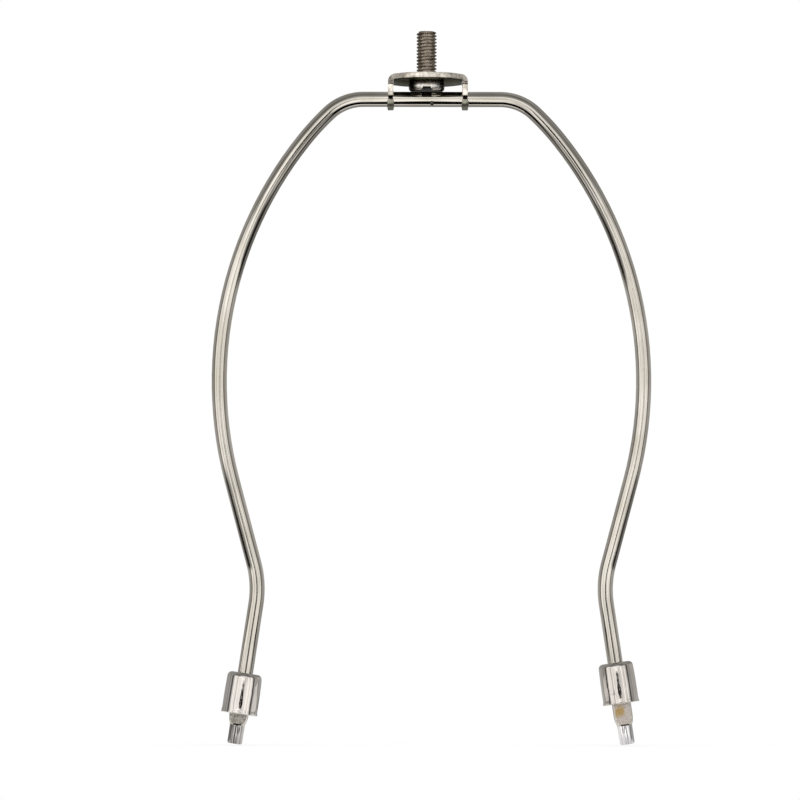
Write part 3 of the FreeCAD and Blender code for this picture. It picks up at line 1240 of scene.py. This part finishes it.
@dataclass
class Studio:
    """White floor, soft surrounding light and the camera. The camera and its
    stand hide parts of the light panel and so draw dark lines in the plate."""

    distance: float = 1300.0
    camera_x: float = -8.82
    camera_z: float = 24.0
    pitch: float = 3.25
    roll: float = 0.1
    lens: float = 206.0
    sensor: float = 36.0
    floor_drop: float = 0.2
    paper_half: float = 100.0
    paper_front: float = 14.0
    paper_back: float = 42.0
    panel_middle: float = -4.5
    camera_bars: tuple[CameraBar, ...] = (
        CameraBar(-6.4, -0.8, 35.0, start=-18.0, end=6.0, half_width=2.3),
        CameraBar(5.8, -0.8, -35.0, start=-6.0, end=18.0, half_width=2.3),
        CameraBar(-0.4, -1.4, 0.0, start=-8.0, end=8.0, half_width=1.0),
    )
    backdrop_from: float = 164.0
    backdrop_to: float = 167.0
    backdrop_foot: float = -1.0
    backdrop_top: float = 22.0
    paper_glow: float = 0.75
    folds_per_radian: float = 5.5

    def build(self) -> None:
        """Sets up floor, light and camera."""
        self.floor()
        self.light()
        self.camera()
        bpy.context.scene.view_settings.view_transform = "Standard"

    def floor(self) -> None:
        """Lays the white paper, which keeps the harp's shadow. Camera, metal and
        glass all see it white."""
        deselect_all()
        bpy.ops.mesh.primitive_plane_add(size=1)
        floor = bpy.context.object
        floor.name = "studio_floor"
        length = self.paper_front + self.paper_back
        floor.scale = (2 * self.paper_half * MM, length * MM, 1)
        floor.location.y = (self.paper_back - self.paper_front) / 2 * MM
        floor.location.z = -self.floor_drop * MM
        material = bpy.data.materials.new("white_paper")
        add = node_adder(material)
        seen = any_ray(add, "Is Camera Ray", "Is Glossy Ray", "Is Transmission Ray")
        share = add("Math", operation="MULTIPLY", i0=seen, i1=self.paper_glow)
        paper = add("BsdfDiffuse", Color=linear("FFFFFF"))
        glow = add("Emission", Color=linear("FFFFFF"), Strength=1.0)
        mix = add("MixShader", Fac=share, i1=paper, i2=glow)
        add("OutputMaterial", Surface=mix)
        floor.data.materials.append(material)

    def light(self) -> None:
        """Makes the surroundings: a wide white light panel in front, with a dark
        gap past its sides, dim ceiling above it, dark ground below it, the dark
        bars of the camera in its middle and the white backdrop behind. Levels
        go by the angle from the panel's middle. Diffuse light is plain."""
        world = bpy.data.worlds.new("studio")
        world.cycles.sampling_method = "NONE"
        bpy.context.scene.world = world
        add = node_adder(world)
        way = add("TexCoord").outputs["Generated"]
        axis = add("SeparateXYZ", Vector=way).outputs
        front = add("Math", operation="MULTIPLY", i0=axis["Y"], i1=-1.0)
        azimuth = add("Math", operation="ARCTAN2", i0=axis["X"], i1=front)
        elevation = add("Math", operation="ARCSINE", i0=axis["Z"])
        aim = add("CombineXYZ", X=azimuth, Y=elevation)
        sine = math.sin(math.radians(self.panel_middle))
        cosine = math.cos(math.radians(self.panel_middle))
        facing, right = (
            add("VectorMath", operation="DOT_PRODUCT", i0=way, i1=(x, y, 0))
            for x, y in ((sine, -cosine), (cosine, sine))
        )
        off = add("Math", operation="ARCCOSINE", i0=facing)
        spread = add("Math", operation="SINE", i0=off)
        rise = add("Math", operation="DIVIDE", i0=axis["Z"], i1=spread)
        right = add("Math", operation="DIVIDE", i0=right, i1=spread)

        level = SURROUNDINGS[0].light(add, off)
        for band in SURROUNDINGS[1:]:
            start, end = band.blend_from, band.blend_to
            turned = add("MapRange", Value=rise, From_Min=start, From_Max=end)
            level = add("Mix", i0=turned, i2=level, i3=band.light(add, off))
        folds = self.folds(add, off, right, rise)
        level = add("Math", operation="MULTIPLY", i0=level, i1=folds)
        for bar in self.camera_bars:
            level = add("Mix", i0=bar.shade(add, aim), i2=level, i3=0.0)
        level = add("Mix", i0=self.backdrop(add, facing, elevation), i2=level, i3=1.0)
        plain = any_ray(add, "Is Camera Ray", "Is Transmission Ray", "Is Diffuse Ray")
        level = add("Mix", i0=plain, i2=level, i3=1.0)
        sky = add("Background", Color=linear("FFFFFF"), Strength=level)
        add("OutputWorld", Surface=sky)

    def backdrop(self, add: Adder, facing: Node, elevation: Node) -> Node:
        """Picks out the white backdrop behind the harp.

        Args:
            add: Adds a node to the world.
            facing: The node that gives the cosine of the angle from the
                panel's middle.
            elevation: The node that gives the elevation.

        Returns:
            The node that gives 1 on the backdrop and 0 beside it.
        """
        behind = add(
            "MapRange", Value=facing, From_Min=math.cos(math.radians(self.backdrop_from)),
            From_Max=math.cos(math.radians(self.backdrop_to)),
        )
        height = angle_window(add, elevation, self.backdrop_foot, self.backdrop_top)
        return add("Math", operation="MULTIPLY", i0=behind, i1=height)

    def folds(self, add: Adder, off: Node, right: Node, rise: Node) -> Node:
        """Folds the panel's cloth some 10 degrees apart, which draws the pale
        streaks in the plate.

        Args:
            add: Adds a node to the world.
            off: The node that gives the angle from the panel's middle.
            right: How far that angle goes to the right, from -1 to 1.
            rise: How far it goes up, from -1 to 1.

        Returns:
            The node that gives the folds' share of the light.
        """
        apart = add("Math", operation="MULTIPLY", i0=off, i1=self.folds_per_radian)
        place = add("CombineXYZ", X=apart, Y=right, Z=rise)
        cloth = add("TexNoise", Vector=place, Scale=1.0, Detail=2.0)
        lit = add("MapRange", Value=cloth, From_Min=0.38, From_Max=0.56, To_Min=0.5, To_Max=1.05)
        folded = add("MapRange", Value=off, From_Min=0.1, From_Max=0.25)
        return add("Mix", i0=folded, i2=1.0, i3=lit)

    def camera(self) -> None:
        """Adds the camera at the photograph's place."""
        data = bpy.data.cameras.new("camera")
        data.lens = self.lens
        data.sensor_width = self.sensor
        camera = bpy.data.objects.new("camera", data)
        bpy.context.collection.objects.link(camera)
        camera.location = Vector((self.camera_x, -self.distance, self.camera_z)) * MM
        camera.rotation_mode = "XYZ"
        camera.rotation_euler = (math.radians(90 + self.pitch), -math.radians(self.roll), 0)
        bpy.context.scene.camera = camera


def main() -> None:
    """Builds and dresses the harp in its studio."""
    logging.basicConfig(level=logging.INFO, format="%(message)s")
    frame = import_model()
    wire_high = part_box("harp_wire")[1]
    stud_low, stud_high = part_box("finial_stud")
    plate_low, plate_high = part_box("top_saddle")
    mounts = {mount["name"]: mount for mount in frame["record"]["mounts"]}

    bow = BowWire(top=wire_high[2] / MM - BowWire.wire_r)
    piece = bow.build()
    bow.dress(piece)
    LOG.info("bow_wire: %d faces", len(piece.data.polygons))

    for side in Side:
        mouth = mounts[f"{side.name.lower()}_ferrule_mouth"]["pos_m"]
        cup = Ferrule(side, Vector(mouth), math.radians(bow.leg_lean))
        piece = cup.build()
        cup.dress(piece)
        LOG.info("%s: %d faces", piece.name, len(piece.data.polygons))

    screw = FinialScrew(
        foot=stud_low[2] / MM,
        seat=plate_high[2] / MM - TopSaddle.thickness,
        top=stud_high[2] / MM,
        centre_x=(stud_low[0] + stud_high[0]) / 2 / MM,
    )
    piece = screw.build()
    screw.dress(piece)
    LOG.info("finial_screw: %d faces", len(piece.data.polygons))

    saddle = TopSaddle(
        wire_z=bow.top,
        top=plate_high[2] / MM,
        middle_x=(plate_low[0] + plate_high[0]) / 2 / MM,
    )
    piece = saddle.build(frame["nodes"]["top_saddle"])
    saddle.dress(piece)
    LOG.info("stamped_saddle: %d faces", len(piece.data.polygons))

    Studio().build()


if __name__ == "__main__":
    main()
